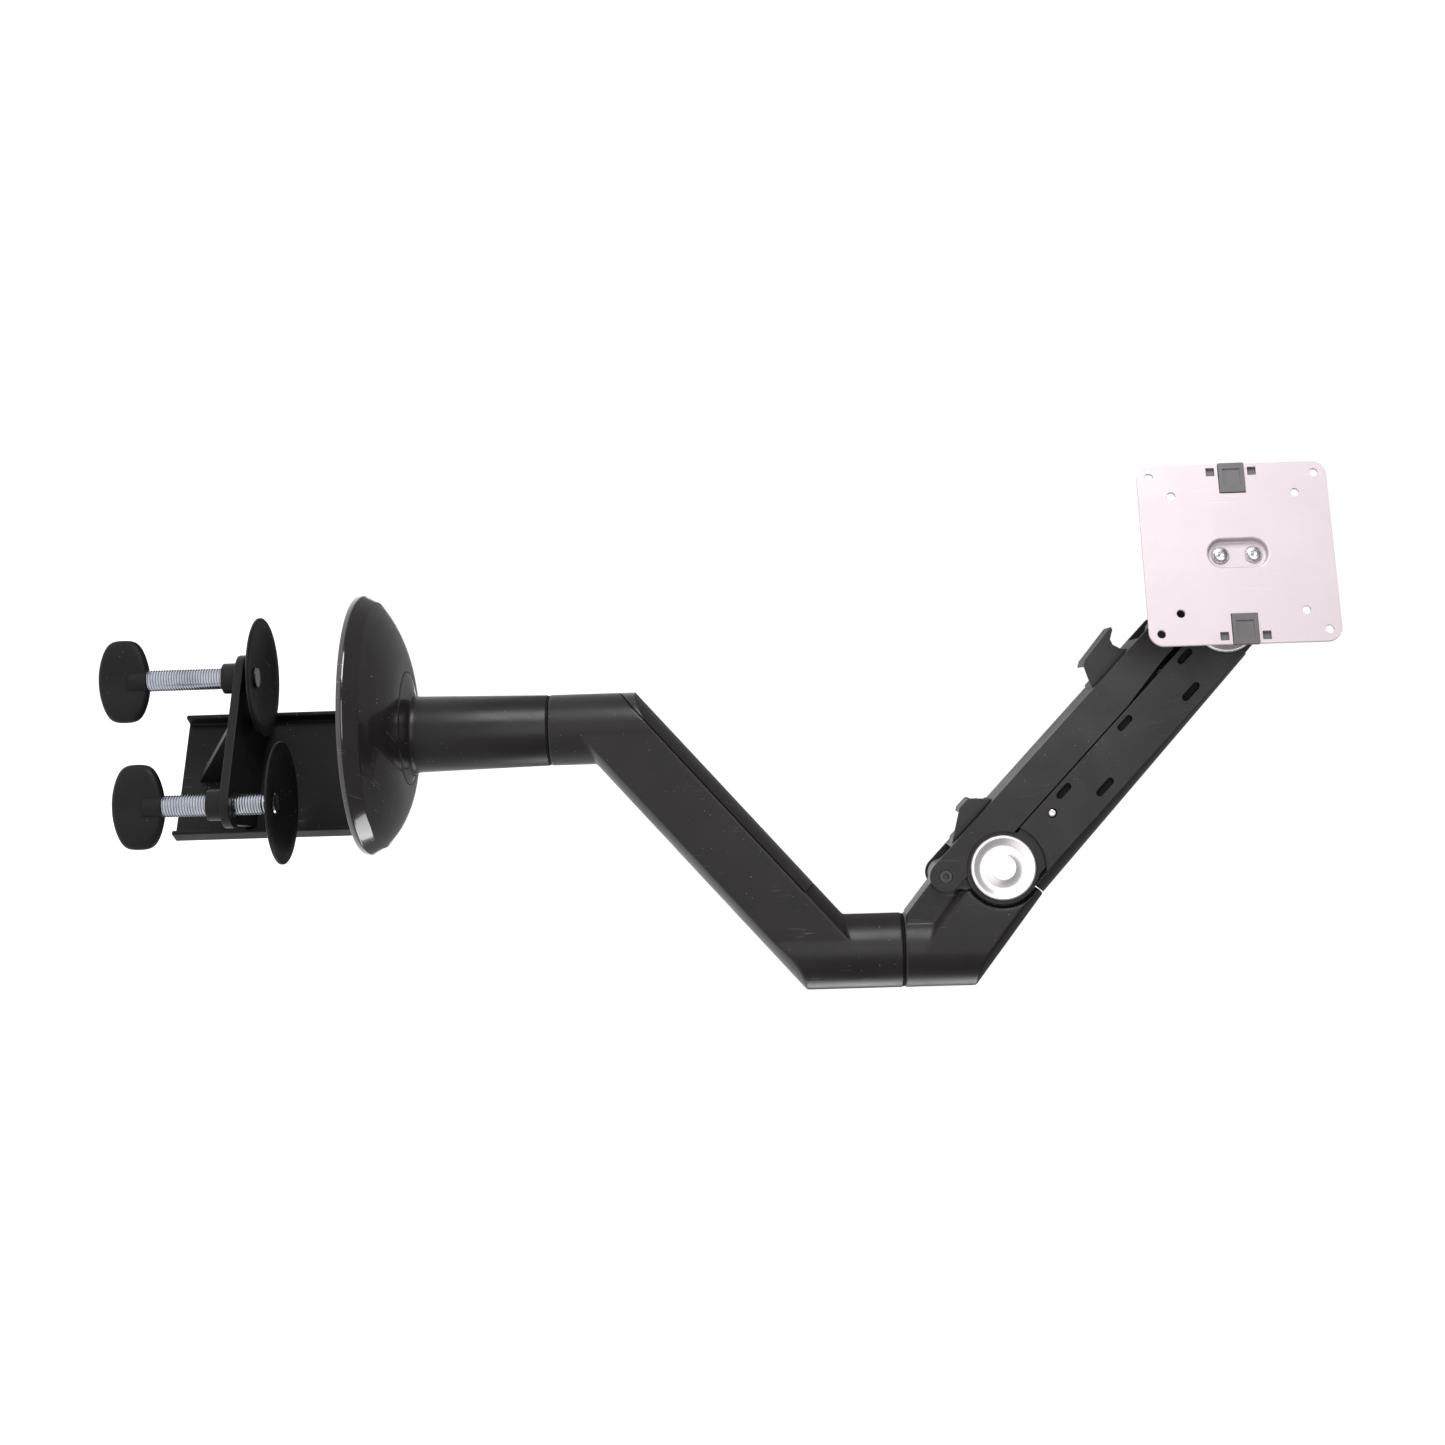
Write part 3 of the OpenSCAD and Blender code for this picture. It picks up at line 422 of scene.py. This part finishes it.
def thread(bm, z0, z1):
    """A right-hand thread: rows of points that climb one pitch a turn, clipped at both ends."""
    r, depth, steps = SCREW_R, THREAD_DEPTH, THREAD_STEPS
    shape = [(0.0, r - depth), (0.12, r - depth), (0.42, r), (0.58, r), (0.88, r - depth)]
    turns = int((z1 - z0) / PITCH) + 2
    rows = []
    for t in range(-1, turns):
        for f, rr in shape:
            row = []
            for i in range(steps + 1):
                z = z0 + (t + f + i / steps) * PITCH
                ends = min(1, max(0, (z - z0) / THREAD_RUN_OUT), max(0, (z1 - z) / THREAD_RUN_OUT))
                row.append(((r - depth + (rr - r + depth) * ends) * math.cos(TAU * i / steps),
                            (r - depth + (rr - r + depth) * ends) * math.sin(TAU * i / steps),
                            max(z0, min(z1, z))))
            rows.append(row)
    skin(bm, rows)
    lathe(bm, [(0.01, z0), (r - depth, z0)], steps)
    lathe(bm, [(r - depth, z1), (0.01, z1)], steps)


def paddle(bm, z0, width, height, thick, turn):
    """An oval finger grip with two lobes, a slight waist and dished sides."""
    steps, rings = 72, 14
    c, s = math.cos(turn), math.sin(turn)

    def point(a, f, side):
        lobe = 1 + 0.055 * math.cos(2 * a) - 0.05 * math.cos(4 * a)
        x = width / 2 * f * lobe * math.copysign(abs(math.cos(a)) ** 0.86, math.cos(a))
        z = (height / 2 * f * (1 - 0.02 * math.cos(2 * a))
             * math.copysign(abs(math.sin(a)) ** 0.86, math.sin(a)))
        y = side * thick / 2 * (1 - f ** 7) ** 0.42
        y -= side * 1.5 * math.exp(-(x / 9) ** 2) * (1 - f ** 2)
        return (c * x - s * y, s * x + c * y, z0 + height / 2 + z)

    fs = [math.sin(math.pi / 2 * k / rings) ** 0.8 for k in range(1, rings)]
    order = [(f, 1) for f in fs] + [(1.0, 1)] + [(f, -1) for f in reversed(fs)]
    vs = skin(bm, [[point(TAU * i / steps, f, side) for i in range(steps)] for f, side in order],
              wrap=True)
    for ring in (vs[0], vs[-1]):
        bm.faces.new(ring)


def disc(bm, z, r):
    """A pressed disc with a flat rim, a rolled lip and a dished middle with a riveted centre."""
    under = [(4.7, z - 9), (8, z - 9), (8.4, z - 8.6), (10.5, z - 8.1), (20, z - 6.4), (30, z - 3.9),
             (r - 5, z - 2.3), (r - 1, z - 2.1), (r, z - 1.6)]
    over = [(r, z - 0.5), (r - 0.5, z), (r - 5.0, z), (r - 6.5, z - 0.35), (30, z - 1.3), (24, z - 3.1),
            (18, z - 4.6), (13, z - 5.6), (9, z - 5.95), (4.7, z - 6.0)]
    lathe(bm, under + over + [under[0]], 128)


for key, side in (("a", -1), ("b", 1)):
    here = Matrix.Translation((side * SCREW_X * MM, 0, 0))
    rim_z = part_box("pressure_disc_" + key)[1].z / MM
    grip_lo, grip_hi = (c.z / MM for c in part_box("thumb_paddle_" + key))
    bm = bmesh.new()
    thread(bm, grip_hi - 9, rim_z - 11.2)
    lathe(bm, [(4.4, rim_z - 11.6), (4.5, rim_z - 11.0), (4.55, rim_z - 5.6), (6.6, rim_z - 5.5),
               (6.9, rim_z - 5.0), (6.2, rim_z - 4.2), (3.5, rim_z - 3.95), (0.02, rim_z - 3.9)], 48)
    stands_for(add_object("clamp_screw_%s_threaded" % key, bm, here), "clamp_screw_" + key)
    bm = bmesh.new()
    grip_turn, grip_w, grip_t = grip_of(key, here)
    paddle(bm, grip_lo, grip_w, grip_hi - grip_lo, min(grip_t, 11), grip_turn)
    lathe(bm, [(0.02, grip_hi - 14), (7.6, grip_hi - 12), (7.9, grip_hi - 5), (7.5, grip_hi - 0.6),
               (6.9, grip_hi), (0.02, grip_hi)], 48)
    stands_for(add_object("thumb_paddle_%s_grip" % key, bm, here), "thumb_paddle_" + key)
    bm = bmesh.new()
    disc(bm, rim_z, (extent("pressure_disc_" + key)[1].x - extent("pressure_disc_" + key)[0].x) / 2)
    stands_for(add_object("pressure_disc_%s_dished" % key, bm, here), "pressure_disc_" + key)


# ------------------------------------------------------------ bright caps
CAP_R = 20.4
CAP = [(19.6, 0.02), (20.3, 0.2), (CAP_R, 0.8), (CAP_R, 3.9), (20.2, 4.6), (19.7, 5.05), (19.1, 5.2),
       (18.5, 5.05), (17.0, 4.25), (15.4, 3.35), (14.0, 2.95), (12.4, 3.0), (10.6, 3.45), (9.2, 3.95),
       (8.5, 4.25), (8.25, 4.5), (8.15, 4.95), (7.85, 5.15), (7.3, 5.2), (0.02, 5.2)]


def buttons(bm, profile, steps):
    """The turned profile on both side plates of the arm, each facing out."""
    for side in (-1, 1):
        for ring in lathe(bm, profile, steps):
            for v in ring:
                x, y, z = v.co
                v.co = (x, side * (PLATE_V + z), -side * y)


# the caps' backs stand on the arm's side plates, where the axle ends
PLATE_V = extent("lift_axle", ARM)[1].y
for node, u in (("pivot_caps", 0.0), ("end_caps", ARM_LEN)):
    bm = bmesh.new()
    buttons(bm, CAP, 112)
    stands_for(add_object(node + "_dished", bm, ARM @ Matrix.Translation((u * MM, 0, 0))), node)


lo_c, hi_c = extent("cheek_screws", ARM)
r, h = (hi_c.x - lo_c.x) / 2, hi_c.y - PLATE_V
bm = bmesh.new()
buttons(bm, [(0.02, 0.0), (r, 0.0), (r, h - 0.9), (r - 0.4, h - 0.3), (r - 1.1, h), (1.4, h),
             (1.3, h - 0.15), (1.25, h - 1.1), (0.02, h - 1.2)], 48)
stands_for(add_object("cheek_screws_socket", bm, ARM @ Matrix.Translation((lo_c + hi_c) / 2 * MM)),
           "cheek_screws")


# painted shade: dark sheets behind the cheeks' slots, standing in for the shadow inside the arm, from past
# the screws to the far cap
lo_k, hi_k = extent("arm_cheeks", ARM)
END_GAP, EDGE_GAP, THICK, STAND_OFF = 4, 3, 0.1, 0.06
far_k = ARM_LEN - CAP_R - END_GAP
bm = bmesh.new()
for side in (-1, 1):
    bar = bmesh.ops.create_cube(bm, size=1.0)["verts"]
    for v in bar:
        v.co = ((hi_c.x + END_GAP + far_k) / 2 + v.co.x * (far_k - hi_c.x - END_GAP),
                side * (PLATE_V + STAND_OFF) + v.co.y * THICK,
                (lo_k.z + hi_k.z) / 2 + v.co.z * (hi_k.z - lo_k.z - EDGE_GAP))
bmesh.ops.bevel(bm, geom=bm.edges[:], offset=0.03, segments=1, affect="EDGES")
# the near-black seam finish on these sheets is painted shade seen through the slots
belongs(add_object("slot_linings", bm, ARM), "arm_frame", "seam_black")


# ------------------------------------------------------------ the plate's two screws
def torx_screw(bm, centre, z0, z1, r):
    """A washer, a domed head and a six-lobed socket, between heights z0 and z1."""
    dome = [(r, z0), (r, z0 + 0.75), (r - 0.25, z0 + 0.95), (r - 1.05, z0 + 0.95), (r - 1.1, z0 + 1.1),
            (r - 1.15, z0 + 1.7), (r - 1.6, z1 - 0.35), (r - 2.3, z1)]
    socket = [(2.0, z1), (1.9, z1 - 0.15), (1.85, z1 - 1.5), (0.02, z1 - 1.7)]
    steps, rows = 72, []
    for k, (rr, z) in enumerate(dome + socket):
        row = []
        for i in range(steps):
            a = TAU * i / steps
            lobed = rr * (1 + 0.17 * math.cos(6 * a)) if k >= len(dome) and rr > 0.1 else rr
            row.append((centre.x + lobed * math.cos(a), centre.y + lobed * math.sin(a), z))
        rows.append(row)
    vs = skin(bm, rows, wrap=True)
    bm.faces.new(vs[0])
    bm.faces.new(vs[-1])


DISH_FLOOR = extent("vesa_plate", PLATE)[0].z + 2.0
bm = bmesh.new()
for c in DISH_HOLES:
    torx_screw(bm, c, DISH_FLOOR, hi_s.z, HEAD_R)
stands_for(add_object("plate_screws_torx", bm, PLATE), "plate_screws")


# ------------------------------------------------------------ stage, camera and light
POST_TURN = math.atan2(elbow_at.y, elbow_at.x)
turned = Matrix.Rotation(POST_TURN, 3, "Z")


def view_axis(x, y, z):
    return (turned @ Vector((x, y, z))).normalized()


forward = view_axis(-0.001, 1.0, -0.0294)
right = view_axis(0.0316, 0.0294, 0.999)
right = (right - forward * right.dot(forward)).normalized()
up = right.cross(forward)
cam = bpy.data.cameras.new("camera")
cam.sensor_width, cam.lens = 36, 48.65
camera = bpy.data.objects.new("camera", cam)
bpy.context.scene.collection.objects.link(camera)
camera.matrix_world = Matrix((right, up, -forward)).transposed().to_4x4()
camera.location = turned @ Vector((-0.0003, -1.25, 0.265))
bpy.context.scene.camera = camera

bm = bmesh.new()
bmesh.ops.create_grid(bm, x_segments=8, y_segments=8, size=6)
floor = bpy.data.objects.new("floor", bpy.data.meshes.new("floor"))
bm.to_mesh(floor.data)
bm.free()
floor.location.z = cad_lo.z - 0.0005
bpy.context.scene.collection.objects.link(floor)
pale = finish_of("floor_pale", (0.55, 0.55, 0.55), 0.8, mottle=0.01, grain=0.1)
glow = pale.node_tree.nodes["Principled BSDF"].inputs
glow["Emission Color"].default_value = (1, 1, 1, 1)
glow["Emission Strength"].default_value = 1.0
floor.data.materials.append(pale)

world = bpy.data.worlds.new("studio")
bpy.context.scene.world = world
world.use_nodes = True
wt = world.node_tree
wt.nodes["Background"].inputs["Color"].default_value = (1.0, 0.985, 0.99, 1)
ray = wt.nodes.new("ShaderNodeLightPath").outputs["Is Camera Ray"]
wt.links.new(remap(wt, ray, 0.0, 1.0, 0.22, 1.05), wt.nodes["Background"].inputs["Strength"])


def softbox(name, place, aim, size, power):
    light = bpy.data.lights.new(name, "AREA")
    light.shape, light.size, light.energy = "SQUARE", size, power
    o = bpy.data.objects.new(name, light)
    bpy.context.scene.collection.objects.link(o)
    o.location = turned @ Vector(place)
    o.rotation_euler = (turned @ Vector(aim) - o.location).to_track_quat("-Z", "Y").to_euler()


softbox("key", (-0.95, -0.75, 0.40), (0.0, 0.0, 0.25), 0.55, 13)
softbox("front", (-0.15, -1.5, 0.75), (0.0, 0.0, 0.30), 0.9, 9)
softbox("rim", (0.9, 0.35, 0.4), (0.05, 0.0, 0.25), 0.5, 4)
bpy.context.scene.view_settings.view_transform = "Standard"
